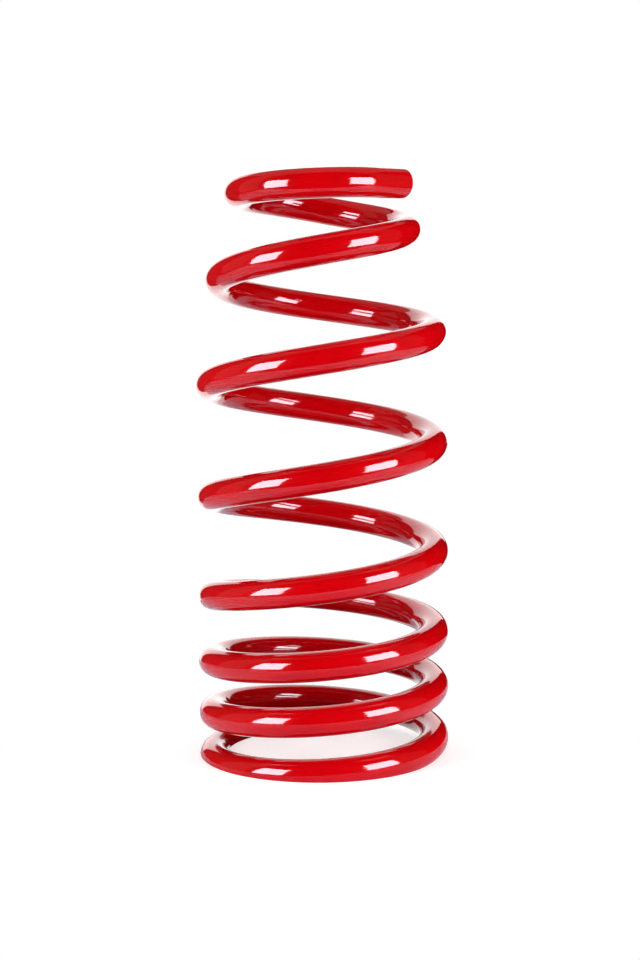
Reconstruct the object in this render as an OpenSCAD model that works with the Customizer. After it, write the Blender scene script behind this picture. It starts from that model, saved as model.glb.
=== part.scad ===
// Suspension coil spring wound from one round steel bar.
// The bottom end is closed and ground flat, and the top narrows to a smaller coil with a square-cut end.
// Millimetres, +Z up. The origin is on the coil axis, in the plane of the ground face.

/* [Bar] */
// Diameter of the round bar
bar_d = 14; // [11:0.5:17]

/* [Coil diameters] */
// Mean diameter of the body coils, at the middle of the bar
body_d = 108; // [90:1:140]
// Mean diameter of the narrow top coil, at the middle of the bar
seat_d = 78; // [60:1:100]

/* [Rise per turn] */
// Pitch of the close lower coils
soft_pitch = 25.5; // [22:0.5:32]
// Pitch of the wide middle coils
main_pitch = 54; // [40:0.5:70]
// Pitch of the coils below the top
upper_pitch = 48.5; // [36:0.5:64]
// Pitch of the top coil, which the upper seat bears on
seat_pitch = 6.5; // [0:0.5:12]

/* [Turns] */
// Turns that lie nearly flat at the ground end
end_turns = 0.2; // [0.1:0.05:0.4]
// Turns over which the ground end lifts to the close coils
lift_turns = 0.5; // [0.3:0.05:0.6]
// Turns at the close pitch
soft_turns = 1.65; // [0.5:0.05:3]
// Turns over which the close coils open to the wide ones
opening_turns = 1.8; // [0.5:0.05:3]
// Turns at the wide pitch
main_turns = 1.1; // [0.5:0.05:3]
// Turns over which the wide coils ease to the upper ones
easing_turns = 0.85; // [0.3:0.05:2]
// Turns at the upper pitch
upper_turns = 0.9; // [0.5:0.05:2]
// Turns over which the upper coils close to the top coil
closing_turns = 0.15; // [0.1:0.05:0.6]
// Turns of the top coil, up to its straight tail
seat_turns = 0.47; // [0.3:0.01:0.8]
// Turns over which the coils narrow before the top coil starts
neck_turns = 1.5; // [0.8:0.05:3]

/* [Ends] */
// Thickness of the bar that is left at the tip of the ground end
tip_thickness = 6; // [4:0.5:9]
// Clearance between that tip and the coil above it
tip_gap = 1.5; // [0.5:0.25:4]
// Length of straight bar that ends the top coil
tail_length = 17.5; // [0:0.5:30]
// Rounding of the edge of the cut end at the top
cut_round = 1; // [0.5:0.25:4]

/* [Hidden] */

// Direction of the ground tip around the axis
tip_angle = 90;
full_turn = 360;

// Smoothness: sides of the bar's section, rings of points in a turn and rings in the rounded edge
sides = 16;
rings_per_turn = 44;
round_rings = 4;

// The sides lie on the bar's round surface at their middles
bar_r = bar_d / 2 / cos(180 / sides);

// The closed end: over its first turn the bar rises by its own thickness and the clearance
first_rise = bar_d + tip_gap;
flat_share = end_turns + lift_turns / 2;
end_pitch = (first_rise - soft_pitch * (1 - flat_share)) / flat_share;

// Turns that a length of bar takes up in the top coil, where a straight tail counts as if it were bent
function seat_share(length) = length / (PI * seat_d);

// Where each stretch of the coil ends, in turns from the ground tip
end_stop = end_turns;
lift_stop = end_stop + lift_turns;
soft_stop = lift_stop + soft_turns;
opening_stop = soft_stop + opening_turns;
main_stop = opening_stop + main_turns;
easing_stop = main_stop + easing_turns;
upper_stop = easing_stop + upper_turns;
closing_stop = upper_stop + closing_turns;
bend_stop = closing_stop + seat_turns;
all_turns = bend_stop + seat_share(tail_length);

// The pitch along the coil, as pairs of turn and pitch with an even change between them
pitch_plan = [
    [0, end_pitch],
    [end_stop, end_pitch],
    [lift_stop, soft_pitch],
    [soft_stop, soft_pitch],
    [opening_stop, main_pitch],
    [main_stop, main_pitch],
    [easing_stop, upper_pitch],
    [upper_stop, upper_pitch],
    [closing_stop, seat_pitch],
    [all_turns, seat_pitch]
];

function pitch_at(turn) = lookup(turn, pitch_plan);

// Height of the bar's middle over the ground face: the sum of the pitch over the turns below
function height_at(turn, step = 0) =
    step >= len(pitch_plan) - 1
        ? tip_thickness - bar_d / 2
        : let (from = pitch_plan[step][0])
          let (to = max(from, min(turn, pitch_plan[step + 1][0])))
          (to - from) * (pitch_at(from) + pitch_at(to)) / 2 + height_at(turn, step + 1);

// Distance of the bar's middle from the axis, with an S-shaped narrowing below the top coil
function neck_share(turn) = max(0, min(1, (turn - closing_stop + neck_turns) / neck_turns));
function radius_at(turn) =
    let (share = neck_share(turn))
    (body_d + (seat_d - body_d) * share * share * (3 - 2 * share)) / 2;

// How far the sloping bar stretches a section that stands upright through the axis
function slope_stretch(turn) = 1 / cos(atan(pitch_at(turn) / (full_turn * PI / 180 * radius_at(turn))));

// One upright section of the bar: an arc from its outer to its inner lower corner, closed by a flat.
// Where the ground face cuts the bar, the corners lie on that face. The tail runs straight ahead.
function ring(turn, inset) =
    let (across = bar_r - inset)
    let (tall = across * slope_stretch(turn))
    let (height = height_at(turn))
    let (below = asin(max(-1, min(height / tall, cos(180 / sides)))))
    let (around = tip_angle + full_turn * min(turn, bend_stop))
    let (ahead = max(0, turn - bend_stop) * PI * seat_d)
    [for (side = [0 : sides - 1])
        let (angle = -below + side * (180 + 2 * below) / (sides - 1))
        let (out = radius_at(turn) + across * cos(angle))
        [
            out * cos(around) - ahead * sin(around),
            out * sin(around) + ahead * cos(around),
            height + tall * sin(angle)
        ]];

// Rings as pairs of turn and inset: evenly along the coil, then round the edge of the cut end
round_start = all_turns - seat_share(cut_round);
ring_count = round(round_start * rings_per_turn);
coil_rings = [for (step = [0 : ring_count]) [round_start * step / ring_count, 0]];
edge_rings = [for (step = [1 : round_rings])
    let (angle = 90 * step / round_rings)
    [round_start + seat_share(cut_round * sin(angle)), cut_round * (1 - cos(angle))]];
ring_plan = concat(coil_rings, edge_rings);

function index(level, side) = level * sides + side % sides;

// A skin over the rings: two triangles on each side between rings, and a cap at either end
ring_points = [for (entry = ring_plan) each ring(entry[0], entry[1])];
last_ring = len(ring_plan) - 1;
skin_faces = [for (level = [0 : last_ring - 1], side = [0 : sides - 1]) each [
    [index(level, side), index(level, side + 1), index(level + 1, side + 1)],
    [index(level, side), index(level + 1, side + 1), index(level + 1, side)]
]];
tip_cap = [for (side = [sides - 1 : -1 : 0]) index(0, side)];
cut_cap = [for (side = [0 : sides - 1]) index(last_ring, side)];

// The spring: a red coated steel bar, swept along the coil
module coil_spring() {
    color([0.83, 0.04, 0.06])
        polyhedron(points = ring_points, faces = concat([tip_cap], skin_faces, [cut_cap]));
}

coil_spring();
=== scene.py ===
import math

import bmesh
import bpy
from mathutils import Matrix, Vector


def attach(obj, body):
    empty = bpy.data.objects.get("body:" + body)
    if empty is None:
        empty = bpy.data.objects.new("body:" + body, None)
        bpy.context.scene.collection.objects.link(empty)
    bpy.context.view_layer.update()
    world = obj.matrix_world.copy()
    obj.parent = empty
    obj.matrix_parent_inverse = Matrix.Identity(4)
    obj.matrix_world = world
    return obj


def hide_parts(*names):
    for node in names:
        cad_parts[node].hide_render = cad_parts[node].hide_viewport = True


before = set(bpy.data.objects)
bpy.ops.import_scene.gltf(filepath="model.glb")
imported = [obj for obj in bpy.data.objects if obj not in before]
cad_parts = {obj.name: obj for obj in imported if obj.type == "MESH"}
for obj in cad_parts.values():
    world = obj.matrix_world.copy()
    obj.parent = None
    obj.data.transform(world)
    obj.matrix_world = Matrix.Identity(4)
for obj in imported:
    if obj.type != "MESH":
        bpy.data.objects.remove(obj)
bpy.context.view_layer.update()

# The spring: one round bar of spring steel, wound to a coil whose pitch opens from the bottom to the middle.
# Its bottom end is closed and ground flat, and its top is narrowed, levelled and cut square.
# The whole bar is sprayed with a gloss red coating, which covers the ground face and the cut end too.
bar_d = 0.014
coating_slack = 0.00001
body_d = 0.108
seat_d = 0.078
tip_thickness = 0.006
tip_gap = 0.0015
soft_pitch = 0.0255
main_pitch = 0.054
upper_pitch = 0.0485
seat_pitch = 0.0065
end_turns = 0.2
lift_turns = 0.5
soft_turns = 1.65
opening_turns = 1.8
main_turns = 1.1
easing_turns = 0.85
upper_turns = 0.9
closing_turns = 0.15
seat_turns = 0.47
neck_turns = 1.5
tip_angle = math.radians(90)
tail_length = 0.0175
cut_round = 0.001
ground_round = 0.0006
sharpest_round = ground_round / 10
full_turn = 2 * math.pi
quarter_turn = math.pi / 2

# The pitch along the bar, as pairs of turn and pitch with an even change between them.
flat_share = end_turns + lift_turns / 2
end_pitch = (bar_d + tip_gap - soft_pitch * (1 - flat_share)) / flat_share
pitch_steps = [
    (end_turns, end_pitch),
    (lift_turns, soft_pitch),
    (soft_turns, soft_pitch),
    (opening_turns, main_pitch),
    (main_turns, main_pitch),
    (easing_turns, upper_pitch),
    (upper_turns, upper_pitch),
    (closing_turns, seat_pitch),
    (seat_turns, seat_pitch),
    (tail_length / (math.pi * seat_d), seat_pitch),
]
pitch_plan = [(0.0, end_pitch)]
for turns, pitch in pitch_steps:
    pitch_plan.append((pitch_plan[-1][0] + turns, pitch))
all_turns = pitch_plan[-1][0]
bend_stop = pitch_plan[-2][0]
closing_stop = pitch_plan[-3][0]


def pitch_at(turn):
    for (start, low), (stop, high) in zip(pitch_plan, pitch_plan[1:]):
        if turn <= stop:
            return low + (high - low) * (turn - start) / (stop - start)
    return seat_pitch


def height_at(turn):
    height = tip_thickness - bar_d / 2
    for (start, low), (stop, _) in zip(pitch_plan, pitch_plan[1:]):
        reach = min(turn, stop)
        if reach > start:
            height += (reach - start) * (low + pitch_at(reach)) / 2
    return height


def radius_at(turn):
    share = (turn - closing_stop + neck_turns) / neck_turns
    share = max(0.0, min(1.0, share))
    return (body_d + (seat_d - body_d) * share * share * (3 - 2 * share)) / 2


# One upright section of the bar, as pairs of distance outward and upward from the bar's middle.
# Where the ground face cuts the bar, it gets a flat with two small rounded corners.
arc_sides = 44
corner_sides = 4
flat_points = (0.0, 0.5, 0.9)


def bar_section(turn, inset):
    slope = pitch_at(turn) / (full_turn * radius_at(turn))
    stretch = math.sqrt(1 + slope * slope)
    radius = bar_d / 2 - coating_slack - inset
    corner = max(ground_round - inset, sharpest_round)
    reach = radius - corner
    drop = height_at(turn) / stretch - inset - corner
    drop = max(-reach, min(reach, drop))
    spread = math.sqrt(reach * reach - drop * drop)
    first = math.atan2(-drop, spread)
    outline = [(spread * share, -drop - corner) for share in flat_points]
    for side in range(corner_sides + 1):
        angle = -quarter_turn + (first + quarter_turn) * side / corner_sides
        outline.append((spread + corner * math.cos(angle), -drop + corner * math.sin(angle)))
    for side in range(1, arc_sides):
        angle = first + (math.pi - 2 * first) * side / arc_sides
        outline.append((radius * math.cos(angle), radius * math.sin(angle)))
    for side in range(corner_sides + 1):
        angle = math.pi - first + (first + quarter_turn) * side / corner_sides
        outline.append((-spread + corner * math.cos(angle), -drop + corner * math.sin(angle)))
    outline += [(-spread * share, -drop - corner) for share in reversed(flat_points[1:])]
    return [(out, up * stretch) for out, up in outline]


def ring_points(turn, inset):
    around = tip_angle + full_turn * min(turn, bend_stop)
    ahead = max(0.0, turn - bend_stop) * math.pi * seat_d
    middle = height_at(turn)
    points = []
    for out, up in bar_section(turn, inset):
        distance = radius_at(turn) + out
        points.append((
            distance * math.cos(around) - ahead * math.sin(around),
            distance * math.sin(around) + ahead * math.cos(around),
            middle + up,
        ))
    return points


# Rings of points along the bar, as pairs of turn and inset:
# round the edge of the ground tip, along the coil, and round the edge of the cut end.
rings_per_turn = 150
edge_rings = 6
face_inset = 0.003
weld_distance = 0.000001
tip_share = ground_round / (math.pi * body_d)
cut_share = cut_round / (math.pi * seat_d)
coil_stop = all_turns - cut_share
coil_length = coil_stop - tip_share
coil_rings = round(coil_length * rings_per_turn)
ring_plan = [(0.0, face_inset)]
for step in range(edge_rings):
    angle = quarter_turn * (1 - step / edge_rings)
    ring_plan.append((tip_share * (1 - math.sin(angle)), ground_round * (1 - math.cos(angle))))
for step in range(coil_rings + 1):
    ring_plan.append((tip_share + coil_length * step / coil_rings, 0.0))
for step in range(1, edge_rings + 1):
    angle = quarter_turn * step / edge_rings
    ring_plan.append((coil_stop + cut_share * math.sin(angle), cut_round * (1 - math.cos(angle))))
ring_plan.append((all_turns, face_inset))

bar_mesh = bmesh.new()
rings = [[bar_mesh.verts.new(point) for point in ring_points(turn, inset)] for turn, inset in ring_plan]
sides = len(rings[0])
for lower, upper in zip(rings, rings[1:]):
    for side in range(sides):
        other = (side + 1) % sides
        bar_mesh.faces.new((lower[side], lower[other], upper[other], upper[side]))
bar_mesh.faces.new(list(reversed(rings[0])))
bar_mesh.faces.new(rings[-1])
bmesh.ops.remove_doubles(bar_mesh, verts=bar_mesh.verts, dist=weld_distance)
bmesh.ops.recalc_face_normals(bar_mesh, faces=bar_mesh.faces)
spring_mesh = bpy.data.meshes.new("wound_bar")
bar_mesh.to_mesh(spring_mesh)
bar_mesh.free()
spring_mesh.shade_smooth()
spring = bpy.data.objects.new("wound_bar", spring_mesh)
bpy.context.scene.collection.objects.link(spring)

# The coating: a gloss red, sprayed on and baked hard, with slightly uneven colour and gloss.
cloudy_red = (0.56, 0.0004, 0.0025, 1)
clear_red = (0.62, 0.0008, 0.0035, 1)
cloud_scale = 45
cloud_detail = 3
cloudy_to = 0.35
clear_from = 0.65
smoothest = 0.05
roughest = 0.1
coating_ior = 1.5
coating = bpy.data.materials.new("red_gloss_coating")
coating.use_nodes = True
coating_nodes = coating.node_tree.nodes
coating_links = coating.node_tree.links
coating_shader = coating_nodes["Principled BSDF"]
coating_shader.inputs["IOR"].default_value = coating_ior
coating_place = coating_nodes.new("ShaderNodeTexCoord")

clouding = coating_nodes.new("ShaderNodeTexNoise")
clouding.inputs["Scale"].default_value = cloud_scale
clouding.inputs["Detail"].default_value = cloud_detail
coating_links.new(coating_place.outputs["Object"], clouding.inputs["Vector"])
reds = coating_nodes.new("ShaderNodeValToRGB")
reds.color_ramp.elements[0].position = cloudy_to
reds.color_ramp.elements[0].color = cloudy_red
reds.color_ramp.elements[1].position = clear_from
reds.color_ramp.elements[1].color = clear_red
coating_links.new(clouding.outputs["Fac"], reds.inputs["Fac"])

gloss = coating_nodes.new("ShaderNodeMapRange")
gloss.inputs["To Min"].default_value = smoothest
gloss.inputs["To Max"].default_value = roughest
coating_links.new(clouding.outputs["Fac"], gloss.inputs["Value"])
coating_links.new(gloss.outputs["Result"], coating_shader.inputs["Roughness"])

# Painted shade: where the bar faces the coil's axis its red is painted darker, most of all between the close
# lower coils, where shade falls inside the spring. A surface faces out at 1 and the axis at -1.
inside_start = -0.4
inside_full = -0.8
close_coils_shade = 0.37
wide_coils_shade = 0.075
wide_coils_height = 0.17
from_axis = coating_nodes.new("ShaderNodeVectorMath")
from_axis.operation = "MULTIPLY"
from_axis.inputs[1].default_value = (1, 1, 0)
coating_links.new(coating_place.outputs["Object"], from_axis.inputs[0])
outward = coating_nodes.new("ShaderNodeVectorMath")
outward.operation = "NORMALIZE"
coating_links.new(from_axis.outputs["Vector"], outward.inputs[0])
facing_out = coating_nodes.new("ShaderNodeVectorMath")
facing_out.operation = "DOT_PRODUCT"
coating_links.new(outward.outputs["Vector"], facing_out.inputs[0])
coating_links.new(coating_place.outputs["Normal"], facing_out.inputs[1])
inside = coating_nodes.new("ShaderNodeMapRange")
inside.interpolation_type = "SMOOTHSTEP"
inside.inputs["From Min"].default_value = inside_full
inside.inputs["From Max"].default_value = inside_start
inside.inputs["To Min"].default_value = 1
inside.inputs["To Max"].default_value = 0
coating_links.new(facing_out.outputs["Value"], inside.inputs["Value"])
bar_height = coating_nodes.new("ShaderNodeSeparateXYZ")
coating_links.new(coating_place.outputs["Object"], bar_height.inputs["Vector"])
# The painted shade is deepest low down between the close coils and lightest up among the wide ones.
painted_shade_depth = coating_nodes.new("ShaderNodeMapRange")
painted_shade_depth.inputs["From Max"].default_value = wide_coils_height
painted_shade_depth.inputs["To Min"].default_value = -close_coils_shade
painted_shade_depth.inputs["To Max"].default_value = -wide_coils_shade
coating_links.new(bar_height.outputs["Z"], painted_shade_depth.inputs["Value"])
painted_shade_tone = coating_nodes.new("ShaderNodeMath")
painted_shade_tone.operation = "MULTIPLY_ADD"
painted_shade_tone.inputs[2].default_value = 1
coating_links.new(inside.outputs["Result"], painted_shade_tone.inputs[0])
coating_links.new(painted_shade_depth.outputs["Result"], painted_shade_tone.inputs[1])
# Here the painted shade darkens the base red.
shaded_red = coating_nodes.new("ShaderNodeHueSaturation")
coating_links.new(painted_shade_tone.outputs["Value"], shaded_red.inputs["Value"])
coating_links.new(reds.outputs["Color"], shaded_red.inputs["Color"])
coating_links.new(shaded_red.outputs["Color"], coating_shader.inputs["Base Color"])

# The faint orange peel that a sprayed coat dries to.
peel_scale = 420
peel_detail = 1
peel_strength = 0.1
peel_depth = 0.00004
peel = coating_nodes.new("ShaderNodeTexNoise")
peel.inputs["Scale"].default_value = peel_scale
peel.inputs["Detail"].default_value = peel_detail
coating_links.new(coating_place.outputs["Object"], peel.inputs["Vector"])
peel_relief = coating_nodes.new("ShaderNodeBump")
peel_relief.inputs["Strength"].default_value = peel_strength
peel_relief.inputs["Distance"].default_value = peel_depth
coating_links.new(peel.outputs["Fac"], peel_relief.inputs["Height"])
coating_links.new(peel_relief.outputs["Normal"], coating_shader.inputs["Normal"])

spring.data.materials.append(coating)
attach(spring, "root")
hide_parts("coil_spring")

# The floor: a plain pale sheet of paper under the spring, which only the camera sees.
# Close to the spring it keeps the shadow, and further out it fades to the white of the background.
floor_half = 1.6
shadow_reach = 0.075
white_reach = 0.16
paper_grey = (0.7, 0.7, 0.7, 1)
paper_glow = 0.6
floor_mesh = bpy.data.meshes.new("floor")
floor_corners = [
    (-floor_half, -floor_half, 0),
    (floor_half, -floor_half, 0),
    (floor_half, floor_half, 0),
    (-floor_half, floor_half, 0),
]
floor_mesh.from_pydata(floor_corners, [], [(0, 1, 2, 3)])
floor = bpy.data.objects.new("floor", floor_mesh)
floor.visible_glossy = False
floor.visible_diffuse = False
floor.visible_shadow = False
bpy.context.scene.collection.objects.link(floor)
paper = bpy.data.materials.new("white_paper")
paper.use_nodes = True
paper_nodes = paper.node_tree.nodes
paper_links = paper.node_tree.links
paper_nodes.remove(paper_nodes["Principled BSDF"])
paper_matt = paper_nodes.new("ShaderNodeBsdfDiffuse")
paper_matt.inputs["Color"].default_value = paper_grey
paper_lift = paper_nodes.new("ShaderNodeEmission")
paper_lift.inputs["Strength"].default_value = paper_glow
paper_near = paper_nodes.new("ShaderNodeAddShader")
paper_links.new(paper_matt.outputs["BSDF"], paper_near.inputs[0])
paper_links.new(paper_lift.outputs["Emission"], paper_near.inputs[1])
paper_white = paper_nodes.new("ShaderNodeEmission")
paper_place = paper_nodes.new("ShaderNodeNewGeometry")
paper_away = paper_nodes.new("ShaderNodeVectorMath")
paper_away.operation = "LENGTH"
paper_links.new(paper_place.outputs["Position"], paper_away.inputs[0])
paper_fade = paper_nodes.new("ShaderNodeMapRange")
paper_fade.interpolation_type = "SMOOTHSTEP"
paper_fade.inputs["From Min"].default_value = shadow_reach
paper_fade.inputs["From Max"].default_value = white_reach
paper_links.new(paper_away.outputs["Value"], paper_fade.inputs["Value"])
paper_mix = paper_nodes.new("ShaderNodeMixShader")
paper_links.new(paper_fade.outputs["Result"], paper_mix.inputs["Fac"])
paper_links.new(paper_near.outputs["Shader"], paper_mix.inputs[1])
paper_links.new(paper_white.outputs["Emission"], paper_mix.inputs[2])
paper_links.new(paper_mix.outputs["Shader"], paper_nodes["Material Output"].inputs["Surface"])
floor_mesh.materials.append(paper)

# The table top: a pale board just under the paper, which only lights the coating and shows in its gloss.
# It is open under the spring and just behind it, where the real one lies in the spring's own shadow.
# Close in front of the spring its tone is deeper and redder, from the light that the coating throws on it.
table_half = 0.62
table_front = -0.285
table_back = 0.3
table_drop = 0.0002
open_half = 0.05
open_front = -0.025
open_back = 0.14
red_middle = (0, -0.11, 0)
red_reach = 0.04
pale_reach = 0.12
red_tone = (0.68, 0.33, 0.54, 1)
pale_tone = (0.65, 0.76, 0.88, 1)
board_roughness = 0.9
board_glow = (0.16, 0.14, 0.18, 1)
table_mesh = bpy.data.meshes.new("table_top")
board_columns = [-table_half, -open_half, open_half, table_half]
board_rows = [table_front, open_front, open_back, table_back]
table_corners = [(across, along, -table_drop) for along in board_rows for across in board_columns]
columns = len(board_columns)
open_field = (1, 1)
table_faces = []
for row in range(len(board_rows) - 1):
    for column in range(columns - 1):
        near = row * columns + column
        far = near + columns
        if (row, column) != open_field:
            table_faces.append((near, near + 1, far + 1, far))
table_mesh.from_pydata(table_corners, [], table_faces)
table_top = bpy.data.objects.new("table_top", table_mesh)
table_top.visible_camera = False
table_top.visible_shadow = False
bpy.context.scene.collection.objects.link(table_top)
board = bpy.data.materials.new("pale_board")
board.use_nodes = True
board_nodes = board.node_tree.nodes
board_links = board.node_tree.links
board_shader = board_nodes["Principled BSDF"]
board_shader.inputs["Roughness"].default_value = board_roughness
board_shader.inputs["Specular IOR Level"].default_value = 0
board_place = board_nodes.new("ShaderNodeNewGeometry")
board_away = board_nodes.new("ShaderNodeVectorMath")
board_away.operation = "DISTANCE"
board_away.inputs[1].default_value = red_middle
board_links.new(board_place.outputs["Position"], board_away.inputs[0])
board_tones = board_nodes.new("ShaderNodeValToRGB")
board_tones.color_ramp.interpolation = "EASE"
board_tones.color_ramp.elements[0].position = red_reach
board_tones.color_ramp.elements[0].color = red_tone
board_tones.color_ramp.elements[1].position = pale_reach
board_tones.color_ramp.elements[1].color = pale_tone
board_links.new(board_away.outputs["Value"], board_tones.inputs["Fac"])
board_links.new(board_tones.outputs["Color"], board_shader.inputs["Base Color"])
board_shader.inputs["Emission Color"].default_value = board_glow
board_ray = board_nodes.new("ShaderNodeLightPath")
board_links.new(board_ray.outputs["Is Glossy Ray"], board_shader.inputs["Emission Strength"])
table_mesh.materials.append(board)

# The studio light: a tall soft box on either side in front, a lamp overhead, dim walls and a dim ceiling.
# Each lamp lights the coating without showing in it, and each other panel shows only in the gloss.
# A panel's radiance is how bright it looks, and panel_watt turns that into a lamp's watts for its area.
panel_watt = 4


def soft_panel(name, place, toward, width, height, radiance, in_gloss):
    lamp = bpy.data.lights.new(name, "AREA")
    lamp.shape = "RECTANGLE"
    lamp.size = width
    lamp.size_y = height
    lamp.energy = radiance * panel_watt * width * height
    panel = bpy.data.objects.new(name, lamp)
    panel.location = place
    panel.rotation_mode = "QUATERNION"
    panel.rotation_quaternion = (Vector(toward) - Vector(place)).to_track_quat("-Z", "Y")
    panel.visible_camera = False
    panel.visible_diffuse = not in_gloss
    panel.visible_glossy = in_gloss
    bpy.context.scene.collection.objects.link(panel)
    return panel


def upright_panel(name, turn, away, middle, width, height, radiance, in_gloss):
    way = Vector((math.sin(math.radians(turn)), -math.cos(math.radians(turn)), 0))
    aim = Vector((0, 0, middle))
    return soft_panel(name, aim + way * away, aim, width, height, radiance, in_gloss)


box_turn = 51.5
box_away = 0.7
box_height = 0.54
box_radiance = 16.3
box_tint = (0.89, 0.89, 1)
lamp_turn = 55
lamp_away = 0.73
wall_away = 0.8
wall_middle = 0.65
wall_height = 1.3
overhead_place = (0, 0, 1.0)
overhead_size = 0.35
ceiling_place = (0, 0.45, 1.2)
below_ceiling = (0, 0.45, 0)
upright_panel("left_lamp", -lamp_turn, lamp_away, middle=0.26, width=0.34, height=box_height,
              radiance=7.0, in_gloss=False)
upright_panel("right_lamp", lamp_turn, lamp_away, middle=0.27, width=0.4, height=box_height,
              radiance=6.7, in_gloss=False)
left_box = upright_panel("left_box", -box_turn, box_away, middle=0.33, width=0.36, height=box_height,
                         radiance=box_radiance, in_gloss=True)
left_box.data.color = box_tint
right_box = upright_panel("right_box", box_turn, box_away, middle=0.345, width=0.385, height=box_height,
                          radiance=box_radiance, in_gloss=True)
right_box.data.color = box_tint
upright_panel("left_wall", -91.5, wall_away, wall_middle, width=0.47, height=wall_height,
              radiance=0.17, in_gloss=True)
upright_panel("right_wall", 89, wall_away, wall_middle, width=0.4, height=wall_height,
              radiance=0.08, in_gloss=True)
soft_panel("overhead_lamp", overhead_place, (0, 0, 0), overhead_size, overhead_size,
           radiance=5.2, in_gloss=False)
soft_panel("ceiling", ceiling_place, below_ceiling, width=1.4, height=1.3, radiance=0.22, in_gloss=True)

# The white card: a pale upright board that stands slanted behind the spring, with a soft lamp at its back.
# It shows as the pale rims of the coils, and its foot is what they mirror below the table's edge.
card_corner = Vector((-0.202, 0.269, 0))
card_way = Vector((0.796, 0.605, 0))
card_face = Vector((0.605, -0.796, 0))
card_lamp_along = 0.28
card_lamp_behind = 0.03
card_lamp_middle = Vector((0, 0, 0.25))


def card_panel(name, start, stop, low, high, radiance):
    middle = card_corner + card_way * ((start + stop) / 2) + Vector((0, 0, (low + high) / 2))
    soft_panel(name, middle, middle + card_face, stop - start, high - low, radiance, in_gloss=True)


card_panel("near_card", start=0, stop=0.36, low=0, high=0.52, radiance=1.5)
card_panel("far_card", start=0.36, stop=0.575, low=0.12, high=0.62, radiance=1.55)
card_panel("card_foot", start=0, stop=0.5, low=-0.25, high=0, radiance=1.0)
card_lamp_place = card_corner + card_way * card_lamp_along - card_face * card_lamp_behind + card_lamp_middle
soft_panel("card_lamp", card_lamp_place, card_lamp_place + card_face, width=0.56, height=0.5,
           radiance=1.0, in_gloss=False)

# The room: plain white behind the spring for the camera, and nearly dark for the coating and its gloss.
# Only far to the left does the gloss mirror a little more of it.
white = (1, 1, 1, 1)
room_level = 0.02
left_gloss_level = 0.06
gloss_level = 0.004
far_left = -0.7
half_left = -0.3
world = bpy.data.worlds.new("studio")
world.use_nodes = True
bpy.context.scene.world = world
world_nodes = world.node_tree.nodes
world_links = world.node_tree.links
world_out = world_nodes["World Output"]
white_back = world_nodes["Background"]
white_back.inputs["Color"].default_value = white
white_back.inputs["Strength"].default_value = 1
room_light = world_nodes.new("ShaderNodeBackground")
room_light.inputs["Color"].default_value = white
room_light.inputs["Strength"].default_value = room_level
room_gloss = world_nodes.new("ShaderNodeBackground")
room_gloss.inputs["Color"].default_value = white
room_way = world_nodes.new("ShaderNodeTexCoord")
room_parts = world_nodes.new("ShaderNodeSeparateXYZ")
world_links.new(room_way.outputs["Generated"], room_parts.inputs["Vector"])
room_fade = world_nodes.new("ShaderNodeMapRange")
room_fade.interpolation_type = "SMOOTHSTEP"
room_fade.inputs["From Min"].default_value = far_left
room_fade.inputs["From Max"].default_value = half_left
room_fade.inputs["To Min"].default_value = left_gloss_level
room_fade.inputs["To Max"].default_value = gloss_level
world_links.new(room_parts.outputs["X"], room_fade.inputs["Value"])
world_links.new(room_fade.outputs["Result"], room_gloss.inputs["Strength"])
room_ray = world_nodes.new("ShaderNodeLightPath")
gloss_mix = world_nodes.new("ShaderNodeMixShader")
world_links.new(room_ray.outputs["Is Glossy Ray"], gloss_mix.inputs["Fac"])
world_links.new(room_light.outputs["Background"], gloss_mix.inputs[1])
world_links.new(room_gloss.outputs["Background"], gloss_mix.inputs[2])
back_mix = world_nodes.new("ShaderNodeMixShader")
world_links.new(room_ray.outputs["Is Camera Ray"], back_mix.inputs["Fac"])
world_links.new(gloss_mix.outputs["Shader"], back_mix.inputs[1])
world_links.new(white_back.outputs["Background"], back_mix.inputs[2])
world_links.new(back_mix.outputs["Shader"], world_out.inputs["Surface"])

# The camera: a long lens a little above the spring's middle,
# tilted down and turned a trace about its own axis.
camera_aim = Vector((-0.0009, 0, 0.134))
camera_away = 0.8266
camera_tilt = 0.0843
camera_roll = 0.0093
camera_lens = bpy.data.cameras.new("camera")
camera_lens.sensor_width = 36
camera_lens.lens = 63.75
camera = bpy.data.objects.new("camera", camera_lens)
camera.matrix_world = (
    Matrix.Translation(camera_aim)
    @ Matrix.Rotation(quarter_turn - camera_tilt, 4, "X")
    @ Matrix.Translation((0, 0, camera_away))
    @ Matrix.Rotation(-camera_roll, 4, "Z")
)
bpy.context.scene.collection.objects.link(camera)
bpy.context.scene.camera = camera
bpy.context.scene.view_settings.view_transform = "Standard"
